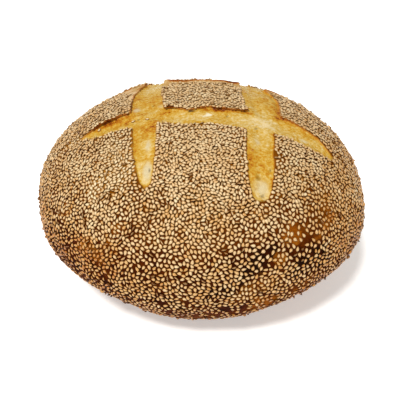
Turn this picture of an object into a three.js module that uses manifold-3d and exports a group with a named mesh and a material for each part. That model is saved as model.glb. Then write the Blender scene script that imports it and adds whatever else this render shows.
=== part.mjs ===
// A round sourdough loaf, scored before baking with four crossing cuts that opened
// into a square grid. Millimetres, +Z up. The loaf stands on its flat bottom crust,
// with the origin under the middle of its outline.

import * as THREE from 'three';
import { mergeVertices, toCreasedNormals } from 'three/addons/utils/BufferGeometryUtils.js';
import Module from 'manifold-3d';

const wasm = await Module();
wasm.setup();

// The domed form. Its outline in plan is a circle with a few slow swells.
const meanRadius = 120;
const loafHeight = 124;
const widestHeight = 52.5;
const bellyDrop = 70.5; // how far the lower half would reach down if the oven floor had not stopped it
const swells = [
	{ waves: 2, share: 0.025, towards: 149 },
	{ waves: 3, share: 0.008, towards: 86 },
	{ waves: 4, share: 0.005, towards: 53 },
];

// How square the upright section is: 2 is an ellipse, more is boxier.
const domeFullness = 2.08;
const bellyFullness = 1.9;
const bellySwells = [
	{ waves: 1, share: 0.014, towards: 228 },
	{ waves: 2, share: 0.03, towards: 76 },
	{ waves: 3, share: 0.046, towards: 26 },
	{ waves: 4, share: 0.06, towards: 2 },
];
const ringEase = THREE.MathUtils.degToRad( 32 ); // the belly takes its own fullness over this slope

// Mesh and finish of the crust
const topCells = 30;
const sideCells = 12;
const crustColour = 0xbd935d;
const crustRoughness = 0.72;
const sharpEdge = THREE.MathUtils.degToRad( 40 );

// Edges of the cuts. The crust curls up beside a cut and dies away over the reach.
const lipReach = 9;
const lipUndercut = 1.6;
const flatEdgeDepth = 0.5; // depth beside an edge that did not curl, as a share of the full depth
const tipDepth = 0.4; // depth at the tips, as a share of the full depth
const tipHalfWidth = 0.5;
const ragged = 0.06; // share of the width by which the edges wander
const raggedWaves = 5;
const wallRise = 1; // the slanted walls of a cut run on this far above the crust
const cutClearance = 14; // and the cutting shape ends this far above that
const cellsAlong = 24;
const cellsAcross = 4;

// The four cuts. Each has stations of [x, y, half width] along its middle line.
// Depth is how far the floor sinks under the crust beside it, and left and right
// are how high the crust curls up on the two sides, seen along the cut.
const cuts = {
	front: {
		stations: [
			[ -85, -18, 0 ], [ -68, -17, 7.3 ], [ -46, -15, 10 ], [ -20, -17.1, 10.8 ], [ 5, -18.6, 10.8 ],
			[ 34, -20.9, 12.6 ], [ 57, -22, 13 ], [ 70, -27.5, 11 ], [ 83, -33, 8.5 ], [ 92, -37.5, 0 ],
		],
		depth: 2.4,
		left: 2.4,
		right: 0.3,
	},
	back: {
		stations: [
			[ 84, 39, 0 ], [ 66, 47.5, 6.5 ], [ 60, 52, 10 ], [ 50, 57.8, 14 ], [ 40, 58, 14.8 ],
			[ 30, 57, 13 ], [ 6, 56, 10.7 ], [ -25, 58, 9 ], [ -38, 61, 6.8 ], [ -58, 56, 4 ], [ -80, 44, 0 ],
		],
		depth: 2.4,
		left: 2.2,
		right: 0.4,
	},
	left: {
		stations: [
			[ -33, -77.5, 0 ], [ -33.5, -70, 4.8 ], [ -34.7, -57, 7.2 ], [ -35.5, -40, 8.6 ],
			[ -36, -13, 11 ], [ -36.5, 5, 12 ], [ -37, 16, 11.4 ], [ -35.7, 43, 9.2 ],
			[ -32.5, 56, 7.6 ], [ -31, 74, 7.2 ], [ -30, 85, 5.2 ], [ -28, 94, 0 ],
		],
		depth: 2.2,
		left: 0.9,
		right: 0.9,
	},
	right: {
		stations: [
			[ 36, -88, 0 ], [ 38, -76, 7.5 ], [ 39, -57, 9.2 ], [ 41, -34, 9.5 ], [ 46, -10, 11.6 ],
			[ 46, 10, 13.4 ], [ 43.6, 34, 11.8 ], [ 40.8, 46, 9.8 ], [ 39, 60, 7 ],
			[ 37.8, 72, 4.2 ], [ 37.2, 84, 0 ],
		],
		depth: 2.2,
		left: 0.9,
		right: 1.6,
	},
};

function swell( list, angle ) {

	const wave = ( { waves, share, towards } ) =>
		share * Math.cos( waves * ( angle - THREE.MathUtils.degToRad( towards ) ) );
	return 1 + list.reduce( ( sum, item ) => sum + wave( item ), 0 );

}

const outlineRadius = ( angle ) => meanRadius * swell( swells, angle );

// The point of the form at a plan angle and a slope angle, from -90 degrees at the
// bottom to 90 at the top. Below the table it is pressed flat.
function crustPoint( angle, slope ) {

	const upper = slope > 0;
	const belly = upper ? 0 : THREE.MathUtils.smoothstep( - slope, 0, ringEase );
	const fullness = THREE.MathUtils.lerp( domeFullness, bellyFullness * swell( bellySwells, angle ), belly );
	const power = 2 / fullness;
	const reach = upper ? loafHeight - widestHeight : - bellyDrop;
	const radius = outlineRadius( angle ) * Math.cos( slope ) ** power;
	const height = widestHeight + reach * Math.sin( Math.abs( slope ) ) ** power;
	return new THREE.Vector3(
		radius * Math.cos( angle ),
		radius * Math.sin( angle ),
		Math.max( height, 0 ),
	);

}

// Height of the dome above a point in plan.
function domeHeight( x, y ) {

	const share = Math.min( Math.hypot( x, y ) / outlineRadius( Math.atan2( y, x ) ), 1 );
	const slope = Math.acos( share ** ( domeFullness / 2 ) );
	return widestHeight + ( loafHeight - widestHeight ) * Math.sin( slope ) ** ( 2 / domeFullness );

}

// The middle line of a cut and its half width, as one smooth curve: z is the half width.
for ( const cut of Object.values( cuts ) ) {

	cut.curve = new THREE.CatmullRomCurve3( cut.stations.map( ( s ) => new THREE.Vector3( ...s ) ) );
	cut.samples = cut.curve.getPoints( cellsAlong * 2 );

}

// Frame of a cut at a share of its length: the point, the direction to its left side
// and the half width with its ragged edge.
function cutFrame( cut, share ) {

	const point = cut.curve.getPoint( share );
	const along = cut.curve.getTangent( share ).setZ( 0 ).normalize();
	const wander = 1 + ragged * Math.sin( share * raggedWaves * 2 * Math.PI );
	return {
		point: new THREE.Vector2( point.x, point.y ),
		toLeft: new THREE.Vector2( - along.y, along.x ),
		halfWidth: Math.max( point.z * wander, tipHalfWidth ),
	};

}

// How much the crust curls up at a point in plan, beside all four cuts.
function lipHeight( x, y ) {

	let highest = 0;
	for ( const cut of Object.values( cuts ) ) {

		const distances = cut.samples.map( ( s ) => Math.hypot( x - s.x, y - s.y ) );
		const nearest = distances.indexOf( Math.min( ...distances ) );
		const { point, toLeft, halfWidth } = cutFrame( cut, nearest / ( cut.samples.length - 1 ) );
		const sideways = new THREE.Vector2( x, y ).sub( point ).dot( toLeft );
		const curl = sideways > 0 ? cut.left : cut.right;
		const outside = Math.max( distances[ nearest ] - halfWidth, 0 ) / lipReach;
		const openness = halfWidth / Math.max( ...cut.samples.map( ( s ) => s.z ) );
		highest = Math.max( highest, curl * openness * Math.exp( - outside * outside ) );

	}
	return highest;

}

const crustHeight = ( x, y ) => domeHeight( x, y ) + lipHeight( x, y );

// The uncut loaf: a box whose cells are spread over the form by direction.
function uncutLoaf() {

	const geometry = new THREE.BoxGeometry( 2, 2, 2, topCells, topCells, sideCells );
	const places = geometry.getAttribute( 'position' );
	const direction = new THREE.Vector3();
	for ( let i = 0; i < places.count; i ++ ) {

		direction.fromBufferAttribute( places, i );
		direction.set( ...direction.toArray().map( ( c ) => Math.tan( c * Math.PI / 4 ) ) ).normalize();
		const point = crustPoint( Math.atan2( direction.y, direction.x ), Math.asin( direction.z ) );
		if ( point.z > widestHeight ) point.z += lipHeight( point.x, point.y );
		places.setXYZ( i, ...point );

	}
	return geometry;

}

// The space that a cut opened: a box bent along the middle line. Its floor follows
// the dome, and its lower edges reach a little under the lips.
function openedCut( cut ) {

	const geometry = new THREE.BoxGeometry( 2, 1, 2, cellsAcross, cellsAlong, 2 );
	const places = geometry.getAttribute( 'position' );
	for ( let i = 0; i < places.count; i ++ ) {

		const across = - places.getX( i );
		const level = places.getZ( i );
		const { point, toLeft, halfWidth } = cutFrame( cut, 0.5 + places.getY( i ) );
		const curl = across > 0 ? cut.left : cut.right;
		const highest = Math.max( cut.left, cut.right );
		const undercut = level < 0 ? lipUndercut * across * curl / highest : 0;
		const openness = Math.min( halfWidth / lipReach, 1 );
		const place = point.clone().addScaledVector( toLeft, across * halfWidth + undercut * openness );
		const dished = 1 - across ** 4 * ( 1 - Math.max( curl / highest, flatEdgeDepth ) );
		const depth = cut.depth * dished * THREE.MathUtils.lerp( tipDepth, 1, openness );
		const floor = domeHeight( place.x, place.y ) - depth;
		const top = crustHeight( place.x, place.y ) + wallRise + cutClearance * Math.max( level, 0 );
		places.setXYZ( i, place.x, place.y, level < 0 ? floor : top );

	}
	return geometry;

}

function solidOf( geometry ) {

	geometry.deleteAttribute( 'normal' );
	geometry.deleteAttribute( 'uv' );
	const merged = mergeVertices( geometry );
	return new wasm.Manifold( new wasm.Mesh( {
		numProp: 3,
		vertProperties: merged.getAttribute( 'position' ).array,
		triVerts: new Uint32Array( merged.index.array ),
	} ) );

}

function geometryOf( solid ) {

	const { vertProperties, triVerts } = solid.getMesh();
	const geometry = new THREE.BufferGeometry();
	geometry.setAttribute( 'position', new THREE.BufferAttribute( vertProperties, 3 ) );
	geometry.setIndex( new THREE.BufferAttribute( triVerts, 1 ) );
	return toCreasedNormals( geometry, sharpEdge );

}

function makeLoaf() {

	const scored = Object.values( cuts ).reduce(
		( loaf, cut ) => loaf.subtract( solidOf( openedCut( cut ) ) ),
		solidOf( uncutLoaf() ),
	);
	const geometry = geometryOf( scored );
	geometry.computeBoundingBox();
	const middle = geometry.boundingBox.getCenter( new THREE.Vector3() );
	geometry.translate( - middle.x, - middle.y, 0 );
	const material = new THREE.MeshStandardMaterial( {
		color: crustColour,
		roughness: crustRoughness,
		metalness: 0,
	} );
	const loaf = new THREE.Mesh( geometry, material );
	loaf.name = 'loaf';
	return loaf;

}

const sourdough = new THREE.Group();
sourdough.add( makeLoaf() );

export default sourdough;
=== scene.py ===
import itertools
import math

import bpy
import numpy as np
from mathutils import Matrix, Vector
from mathutils.bvhtree import BVHTree
from mathutils.kdtree import KDTree


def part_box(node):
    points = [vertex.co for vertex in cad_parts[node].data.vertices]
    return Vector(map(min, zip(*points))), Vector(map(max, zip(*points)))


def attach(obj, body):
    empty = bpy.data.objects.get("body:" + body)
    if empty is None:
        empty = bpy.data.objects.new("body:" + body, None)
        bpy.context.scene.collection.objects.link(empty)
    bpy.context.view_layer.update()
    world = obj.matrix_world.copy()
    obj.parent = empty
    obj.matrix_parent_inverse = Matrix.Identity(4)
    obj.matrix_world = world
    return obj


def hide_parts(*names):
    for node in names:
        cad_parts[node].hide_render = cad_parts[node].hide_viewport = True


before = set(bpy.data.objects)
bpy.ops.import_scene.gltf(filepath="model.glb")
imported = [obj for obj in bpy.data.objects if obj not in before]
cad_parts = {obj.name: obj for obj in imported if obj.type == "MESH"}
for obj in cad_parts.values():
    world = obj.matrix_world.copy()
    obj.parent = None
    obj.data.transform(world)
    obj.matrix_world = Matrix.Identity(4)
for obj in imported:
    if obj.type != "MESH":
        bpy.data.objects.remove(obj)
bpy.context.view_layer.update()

mm = 0.001  # the shapes are worked out in millimetres, and turned into metres as each mesh is made
boxLow, boxHigh = (np.array(corner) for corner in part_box("loaf"))
boxSize = (boxHigh - boxLow) / mm
tiny = 1e-6  # keeps divisions away from zero

pattern = {  # the number of the random pattern that each unevenness takes
    "crust": 3, "torn": 21, "base": 31, "mark": 51, "bakeBroad": 52, "bakeFine": 53, "under": 54,
    "warmBroad": 55, "warmFine": 56, "toast": 57, "chalky": 58, "sown": 61, "border": 62, "tone": 63,
}
scrambles = (73856093, 19349663, 83492791)  # large numbers that turn a cell's place into a random number
scramblePattern = 2654435761
scrambleAgain = 1274126177
lowBits = 65535


def mix(a, b, share):
    return a + (b - a) * share


def ease(low, high, value):
    # 0 below low, 1 above high, smooth between
    share = np.clip((value - low) / (high - low), 0, 1)
    return share * share * (3 - 2 * share)


def unit(vectors):
    length = np.linalg.norm(vectors, axis=-1, keepdims=True)
    return vectors / np.maximum(length, tiny)


def region(points, limits):
    # 1 in a region of the loaf and 0 outside it; a limit is an axis, where it is 0 and where it is 1
    share = np.ones(len(points))
    for axis, nothing, full in limits:
        share = share * ease(nothing, full, points[:, axis])
    return share


def cloud(points, size, number):
    # smooth random numbers from -1 to 1 that change over this many millimetres
    places = np.asarray(points, float) / size
    cell = np.floor(places).astype(np.int64)
    inside = places - cell
    inside = inside * inside * (3 - 2 * inside)
    total = np.zeros(len(places))
    for corner in itertools.product((0, 1), repeat=3):
        step = cell + np.array(corner)
        mixed = number * scramblePattern
        for axis, scramble in enumerate(scrambles):
            mixed = mixed ^ step[:, axis] * scramble
        mixed = (mixed ^ (mixed >> 13)) * scrambleAgain
        value = ((mixed ^ (mixed >> 16)) & lowBits) / (lowBits / 2) - 1
        weight = np.prod(np.where(corner, inside, 1 - inside), axis=1)
        total += value * weight
    return total


def curveThrough(along, values, at):
    # a smooth line through a few stations
    along, values = np.asarray(along, float), np.asarray(values, float)
    slopes = np.gradient(values, along)
    at = np.clip(at, along[0], along[-1])
    step = np.clip(np.searchsorted(along, at, side="right") - 1, 0, len(along) - 2)
    length = along[step + 1] - along[step]
    t = (at - along[step]) / length
    start = values[step] * (1 + 2 * t) * (1 - t) ** 2 + slopes[step] * length * t * (1 - t) ** 2
    end = values[step + 1] * t * t * (3 - 2 * t) + slopes[step + 1] * length * t * t * (t - 1)
    return start + end


def makeObject(name, points, corners, sizes, material):
    # corners are the faces' point numbers one after another, and sizes say how many each face has
    mesh = bpy.data.meshes.new(name)
    mesh.vertices.add(len(points))
    mesh.vertices.foreach_set("co", (np.asarray(points) * mm).astype(np.float32).ravel())
    mesh.loops.add(len(corners))
    mesh.loops.foreach_set("vertex_index", np.asarray(corners, np.int32))
    mesh.polygons.add(len(sizes))
    starts = np.concatenate([[0], np.cumsum(sizes)[:-1]])
    mesh.polygons.foreach_set("loop_start", starts.astype(np.int32))
    mesh.polygons.foreach_set("use_smooth", np.ones(len(sizes), bool))
    mesh.materials.append(material)
    mesh.update(calc_edges=True)
    made = bpy.data.objects.new(name, mesh)
    bpy.context.collection.objects.link(made)
    return made


def paintPoints(made, name, values):
    layer = made.data.attributes.new(name, "FLOAT", "POINT")
    layer.data.foreach_set("value", np.asarray(values, np.float32))


def layMap(made, places):
    # the map that the colours are drawn on: one place for each corner of each face
    layer = made.data.uv_layers.new(name="OFBake")
    layer.uv.foreach_set("vector", np.asarray(places, np.float32).ravel())


class Signal:
    # one output of a material's nodes; arithmetic on it adds Math nodes
    def __init__(self, finish, socket):
        self.finish = finish
        self.socket = socket

    def maths(self, operation, first, second):
        return self.finish.node("ShaderNodeMath", {"operation": operation}, {0: first, 1: second})

    def __add__(self, other):
        return self.maths("ADD", self, other)

    def __radd__(self, other):
        return self.maths("ADD", other, self)

    def __sub__(self, other):
        return self.maths("SUBTRACT", self, other)

    def __rsub__(self, other):
        return self.maths("SUBTRACT", other, self)

    def __mul__(self, other):
        return self.maths("MULTIPLY", self, other)

    def __rmul__(self, other):
        return self.maths("MULTIPLY", other, self)


class Finish:
    # a material and the few kinds of node that it is made of
    def __init__(self, name):
        self.material = bpy.data.materials.new(name)
        self.material.use_nodes = True
        self.tree = self.material.node_tree
        self.tree.nodes.clear()
        self.places = self.node("ShaderNodeTexCoord", output="Object")

    def node(self, kind, settings=None, sockets=None, output=0):
        made = self.tree.nodes.new(kind)
        for key, value in (settings or {}).items():
            if key == "stops":
                stops = made.color_ramp.elements
                while len(stops) < len(value):
                    stops.new(0.5)
                for stop, (position, colour) in zip(stops, value):
                    stop.position = position
                    stop.color = colour
            else:
                setattr(made, key, value)
        for key, value in (sockets or {}).items():
            if isinstance(value, Signal):
                self.tree.links.new(value.socket, made.inputs[key])
            else:
                made.inputs[key].default_value = value
        return Signal(self, made.outputs[output]) if made.outputs else made

    def painted(self, name):
        return self.node("ShaderNodeAttribute", {"attribute_name": name}, output="Fac")

    def noise(self, size, detail=2.0, roughness=0.5):
        # cloudy numbers round 0.5, with blotches of about this many millimetres
        sockets = {"Vector": self.places, "Scale": 1 / (size * mm), "Detail": detail, "Roughness": roughness}
        return self.node("ShaderNodeTexNoise", None, sockets)

    def step(self, low, high, value):
        sockets = {"Value": value, "From Min": low, "From Max": high}
        return self.node("ShaderNodeMapRange", {"interpolation_type": "SMOOTHSTEP"}, sockets)

    def ramp(self, value, stops):
        return self.node("ShaderNodeValToRGB", {"stops": stops}, {"Fac": value})

    def blend(self, a, b, share):
        settings = {"data_type": "RGBA", "clamp_factor": True}
        return self.node("ShaderNodeMix", settings, {0: share, 6: a, 7: b}, output=2)

    def bump(self, height, distance):
        return self.node("ShaderNodeBump", None, {"Height": height, "Distance": distance * mm})

    def shader(self, sockets):
        return self.node("ShaderNodeBsdfPrincipled", None, sockets)

    def surface(self, shader):
        self.node("ShaderNodeOutputMaterial", None, {"Surface": shader})


def tint(red, green, blue):
    # a colour as it is seen, 0 to 255, turned into the numbers that the nodes work in
    seen = np.array([red, green, blue]) / 255
    linear = np.where(seen <= 0.04045, seen / 12.92, ((seen + 0.055) / 1.055) ** 2.4)
    return (*(float(part) for part in linear), 1.0)


form = {
    "swells": [(2, 0.025, 149), (3, 0.008, 86), (4, 0.005, 53)],  # waves round the outline, share, towards
    "bellySwells": [(1, 0.014, 228), (2, 0.03, 76), (3, 0.046, 26), (4, 0.06, 2)],
    "domeFullness": 2.08,  # 2 is an ellipse, more is boxier
    "bellyFullness": 1.9,
    "ringEase": 32,  # degrees below the widest ring over which the belly takes its own fullness
    "lipOverDome": 1.917,  # the curled edges stand this far over the dome at the top of the box
    "widestShare": 0.4234,  # height of the widest ring, of the dome's height
    "dropShare": 1.343,  # how far the belly would reach down, of the widest ring's height
    "crustWaves": [(26, 0.55), (11, 0.28), (4.5, 0.14)],  # size and height of the crust's unevenness
    "seedRoom": 1.3,  # the crust lies this far under the outline on the rear flanks; the seeds make it up
    "rearFlanks": [(2, 38, 50), (2, 104, 66), (1, -62, -22)],
    "outlinePoints": 1441,  # at which the outline's width is measured
}


def swell(waves, angle):
    return 1 + sum(share * np.cos(count * (angle - math.radians(towards))) for count, share, towards in waves)


turn = np.linspace(-math.pi, math.pi, form["outlinePoints"])
outlineX = swell(form["swells"], turn) * np.cos(turn)
outlineY = swell(form["swells"], turn) * np.sin(turn)
meanRadius = boxSize[0] / np.ptp(outlineX)
formMiddle = np.array([outlineX.max() + outlineX.min(), outlineY.max() + outlineY.min(), 0]) * meanRadius / 2
domeTop = boxSize[2] - form["lipOverDome"]
widest = domeTop * form["widestShare"]
bellyDrop = widest * form["dropShare"]


def outlineRadius(angle):
    return meanRadius * swell(form["swells"], angle)


def domeHeight(x, y):
    share = np.minimum(np.hypot(x, y) / outlineRadius(np.arctan2(y, x)), 1)
    slope = np.arccos(share ** (form["domeFullness"] / 2))
    return widest + (domeTop - widest) * np.sin(slope) ** (2 / form["domeFullness"])


def sidePoint(angle, slope):
    # a point of the form by its plan angle and slope, negative below the widest ring
    belly = form["bellyFullness"] * swell(form["bellySwells"], angle)
    belly = mix(form["domeFullness"], belly, ease(0, math.radians(form["ringEase"]), -slope))
    power = 2 / np.where(slope > 0, form["domeFullness"], belly)
    reach = np.where(slope > 0, domeTop - widest, -bellyDrop)
    radius = outlineRadius(angle) * np.cos(slope) ** power
    height = widest + reach * np.sin(np.abs(slope)) ** power
    return np.stack([radius * np.cos(angle), radius * np.sin(angle), height], -1)


def crustUneven(points):
    waves = 0
    for k, (size, height) in enumerate(form["crustWaves"]):
        waves = waves + height * cloud(points, size, pattern["crust"] + k)
    return waves - form["seedRoom"] * region(points, form["rearFlanks"])


print("form: mean radius", round(meanRadius, 1), "dome", round(domeTop, 1), "widest at", round(widest, 1))

# Each station of a cut is (along, near edge, far edge). The front and back cuts run along X, and the
# left and right ones along Y. A curl is how strongly that edge stood up as an ear, 0 to 1.
cuts = {
    "front": {
        "runsAlong": 0,
        "stations": [
            (-85, -18.3, -17.8), (-80, -20.4, -15.6), (-75, -22.6, -12.6), (-68, -24.3, -9.8),
            (-61, -24.6, -7.6), (-54, -25, -5.8), (-46, -25, -4.6), (-26, -26.4, -5.2),
            (-18, -28.1, -6.3), (-11.5, -29.2, -8.9), (-5.4, -29.4, -11), (1.4, -29.4, -9),
            (7.7, -29.6, -7.2), (12.4, -29.9, -8.6), (17.2, -30.8, -9.2), (25.5, -32.3, -9.4),
            (34, -33.6, -8.2), (51, -33.8, -8.6), (57, -35.2, -8.9), (63.4, -36.3, -12.4),
            (70.5, -38.7, -16.4), (76.7, -40.4, -19.3), (83.1, -41.4, -24), (88.7, -40.2, -32.4),
            (92, -37.8, -37.2),
        ],
        "nearCurl": [(-85, 0), (-60, 0.1), (90, 0)],
        "farCurl": [
            (-85, 0), (-76, 0.3), (-69, 0.75), (-64, 0.9), (-57, 0.65), (-46, 0.5), (-30, 0.6),
            (-26, 0.9), (-19, 0.9), (-14, 0.5), (-4, 0.5), (7, 0.6), (12, 0.85), (19, 0.8), (23, 0.65),
            (29, 0.7), (33, 0.75), (38, 0.6), (50, 0.4), (57, 0.5), (64, 0.5), (72, 0.3), (80, 0.3),
            (92, 0),
        ],
    },
    "back": {
        "runsAlong": 0,
        "stations": [
            (-80, 44, 44.6), (-70, 48.5, 52.5), (-58, 52, 60), (-47, 54, 66), (-38, 54.5, 68),
            (-31, 51, 68), (-25, 49, 67), (-9, 46.5, 66), (6, 45.2, 66.5), (20, 45, 67), (30, 43.8, 70),
            (40, 43.4, 73), (50, 43.5, 72), (60, 42, 62), (66, 41, 54), (84, 38.5, 39),
        ],
        "nearCurl": [
            (-80, 0), (-64, 0.1), (-56, 0.55), (-50, 0.9), (-38, 1), (-30, 0.8), (-20, 0.8), (33, 0.75),
            (60, 0.6), (84, 0),
        ],
        "nearBare": 5.2,  # the seeds keep this far from the toasted rim
        "nearBareBand": (36, 52),  # between these places from front to back
        "nearRim": 1.2,  # the rim stands up this much more, over this reach
        "nearRimReach": 2.4,
        "nearRimBand": (36, 53),
        "farCurl": [(-80, 0), (0, 0.12), (84, 0)],
    },
    "left": {
        "runsAlong": 1,
        "stations": [
            (-77.5, -34, -31.6), (-76.3, -35.6, -30.2), (-74, -37, -29.4), (-70, -38.3, -28.8),
            (-63, -40.1, -28), (-57, -41.9, -27.4), (-50, -43.4, -27.1), (-40, -44.1, -26.9),
            (-26, -45, -27), (-13, -47, -25.2), (-4, -47.9, -23.9), (5, -48.2, -24.5),
            (16, -48.4, -25.6), (28, -48, -26.2), (34, -46.6, -26.4), (43, -44.6, -26.2),
            (50, -42.6, -25.4), (55, -40.3, -25), (62, -38.6, -24.4), (74, -38, -23.6),
            (85, -35, -24.6), (94, -29, -27.6),
        ],
        "nearCurl": [
            (-77, 0), (-50, 0.22), (-10, 0.34), (25, 0.34), (42, 0.36), (52, 0.45), (62, 0.25), (94, 0),
        ],
        "farCurl": [(-77, 0), (-50, 0.14), (-10, 0.3), (30, 0.3), (94, 0)],
    },
    "right": {
        "runsAlong": 1,
        "stations": [
            (-87.6, 34.6, 38), (-86.6, 32.9, 40.6), (-84, 31.8, 42.6), (-76, 30.5, 45.6),
            (-66, 29.6, 47.2), (-57, 29.9, 48.2), (-47, 30.2, 49.2), (-34, 31.6, 50.6), (-20, 33.4, 54),
            (-10, 34.4, 57.6), (0, 33, 59), (10, 32.6, 59.4), (22, 32, 58), (34, 31.8, 55.4),
            (46, 31.5, 51), (60, 32.2, 46), (72, 33.6, 42), (84, 36.4, 38),
        ],
        "nearCurl": [(-89, 0), (-60, 0.22), (-30, 0.2), (0, 0.22), (40, 0.25), (82, 0)],
        "farCurl": [(-89, 0), (-60, 0.16), (-34, 0.16), (-12, 0.2), (20, 0.2), (45, 0.2), (82, 0)],
    },
}

edges = {
    "samples": 300,  # points along each edge
    "wander": [(11, 0.5), (4, 0.32), (1.7, 0.16)],  # size and reach of the raggedness of a torn edge
    "wanderWidth": 6.0,  # a cut that is narrower than this is less ragged
    "leastWidth": 0.05,
    "curlWobble": (9, 0.25),  # size and share of the unevenness of the curl
    "measuredAtOnce": 4000,  # points, to spare memory
    "sideBlend": 1.4,  # across the middle of a cut, the curl changes from one edge's to the other's over this
    "steepest": 30,  # limit of that change, to keep the numbers small
    "liftPower": 4,  # how much more the higher one of two ears counts
    "guideHalfWidth": 2.2,  # the mesh lines keep this far apart where a cut has closed
    "lift": 2.1,  # a full ear's height over the dome
    "reach": 9.0,  # how far back it lifts the crust
    "overhang": 1.3,
    "overhangReach": 2.6,
    "depth": 2.0,  # of the floors under the dome
    "floorEase": 9.0,  # which they reach this far from the edge
    "flatDepth": 0.9,  # and their depth just beside an edge that did not curl
    "flatReach": 1.6,  # which comes down over this
    "cornerRound": 0.7,  # radius at the corners where two cuts cross
    # the section of an ear from the edge of the crust inwards: distance, place measured from the edge
    # (negative over the floor), the share of the ear's lift and the share of the floor's depth
    "inward": [0, 0.25, 0.5, 0.8, 1.15, 1.6, 2.4, 4.0],
    "earPlace": [-1.3, -1.62, -1.55, -0.8, 0.45, 0.35, -1.4, -4.0],
    "earLift": [1, 0.93, 0.7, 0.55, 0.25, 0, 0, 0],
    "earSunk": [0, 0, 0.02, 0.04, 0.08, 0.36, 0.5, 0.72],
    "flatSunk": [0, 0.1, 0.4, 0.68, 0.85, 0.95, 1.0, 1.2],
}


def edgeLines(name, cut):
    # both edges of a cut as dense lines, with their outward directions in plan and their curl
    stations = np.array(cut["stations"], float)
    along = np.linspace(stations[0, 0], stations[-1, 0], edges["samples"])
    line = np.stack([along, along * 0, along * 0], -1)
    across = [curveThrough(stations[:, 0], stations[:, 1 + side], along) for side in (0, 1)]
    openness = np.clip((across[1] - across[0]) / edges["wanderWidth"], 0, 1)
    number = sorted(cuts).index(name) * 10  # of its patterns: 0 to 7 for the edges, 8 and 9 for their curl
    for k, (size, reach) in enumerate(edges["wander"]):
        wander = [openness * reach * cloud(line, size, number + k + 5 * side) for side in (0, 1)]
        across = [across[side] + wander[side] for side in (0, 1)]
    across[1] = np.maximum(across[1], across[0] + edges["leastWidth"])
    wobbleSize, wobble = edges["curlWobble"]
    made = {"along": along}
    for side, sign, key in ((0, -1, "near"), (1, 1, "far")):
        points = np.stack([along, across[side]] if cut["runsAlong"] == 0 else [across[side], along], -1)
        tangent = unit(np.gradient(points, axis=0))
        normal = np.stack([-tangent[:, 1], tangent[:, 0]], -1)
        outward = sign * normal[:, 1 - cut["runsAlong"]] > 0
        curl = np.interp(along, *zip(*cut[key + "Curl"]))
        curl = curl * (1 + wobble * cloud(line, wobbleSize, number + 8 + side))
        made[key] = {
            "points": points,
            "tangent": tangent,
            "normal": normal * np.where(outward, 1, -1)[:, None],
            "across": across[side],
            "curl": np.clip(curl, 0, 1),
        }
    return made


for name, cut in cuts.items():
    cut["lines"] = edgeLines(name, cut)


def nearestOn(edge, x, y):
    # distance in plan to an edge line, with its outward direction and curl there
    points, tangent, normal = edge["points"], edge["tangent"], edge["normal"]
    nearest = np.empty(len(x), int)
    for start in range(0, len(x), edges["measuredAtOnce"]):
        part = slice(start, start + edges["measuredAtOnce"])
        gaps = (x[part, None] - points[None, :, 0]) ** 2 + (y[part, None] - points[None, :, 1]) ** 2
        nearest[part] = gaps.argmin(1)
    offset = np.stack([x, y], -1) - points[nearest]
    sideways = np.abs((offset * normal[nearest]).sum(-1))
    onwards = np.abs((offset * tangent[nearest]).sum(-1))
    past = np.maximum(onwards - np.linalg.norm(points[1] - points[0]), 0)
    return np.hypot(sideways, past), normal[nearest], edge["curl"][nearest]


def cutField(x, y):
    # at places in plan: the signed distance to the cuts' edges (negative inside a cut), the direction
    # out of the cut, the curl of the nearest edge, and how high the curled edges lift the crust
    distances, directions, curls, lifts, rims = [], [], [], [], []
    for cut in cuts.values():
        lines = cut["lines"]
        here, across = (x, y) if cut["runsAlong"] == 0 else (y, x)
        inside = (here > lines["along"][0]) & (here < lines["along"][-1])
        inside &= across > np.interp(here, lines["along"], lines["near"]["across"])
        inside &= across < np.interp(here, lines["along"], lines["far"]["across"])
        nearGap, nearWay, nearCurl = nearestOn(lines["near"], x, y)
        farGap, farWay, farCurl = nearestOn(lines["far"], x, y)
        gap = np.minimum(nearGap, farGap)
        towardsFar = np.clip((nearGap - farGap) / edges["sideBlend"], -edges["steepest"], edges["steepest"])
        share = 1 / (1 + np.exp(towardsFar))  # 1 beside the near edge
        curl = nearCurl * share + farCurl * (1 - share)
        distances.append(np.where(inside, -gap, gap))
        directions.append(nearWay * share[:, None] + farWay * (1 - share)[:, None])
        curls.append(curl)
        lifts.append(curl * np.exp(-((np.where(inside, 0, gap) / edges["reach"]) ** 2)))
        if "nearRim" in cut:
            rim = nearCurl * cut["nearRim"] * np.exp(-((nearGap / cut["nearRimReach"]) ** 2))
            rims.append(rim * (share > 0.5))
    distances, directions, curls = np.array(distances), np.array(directions), np.array(curls)
    deepest = distances.min(0)
    weights = np.exp(-(distances - deepest) / edges["cornerRound"])
    distance = deepest - edges["cornerRound"] * np.log(weights.sum(0))
    weights = weights / weights.sum(0)
    highest = (np.array(lifts) ** edges["liftPower"]).sum(0) ** (1 / edges["liftPower"])
    lift = edges["lift"] * highest + sum(rims)
    return distance, (weights[..., None] * directions).sum(0), (weights * curls).sum(0), lift


print("cuts:", ", ".join(cuts))

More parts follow.
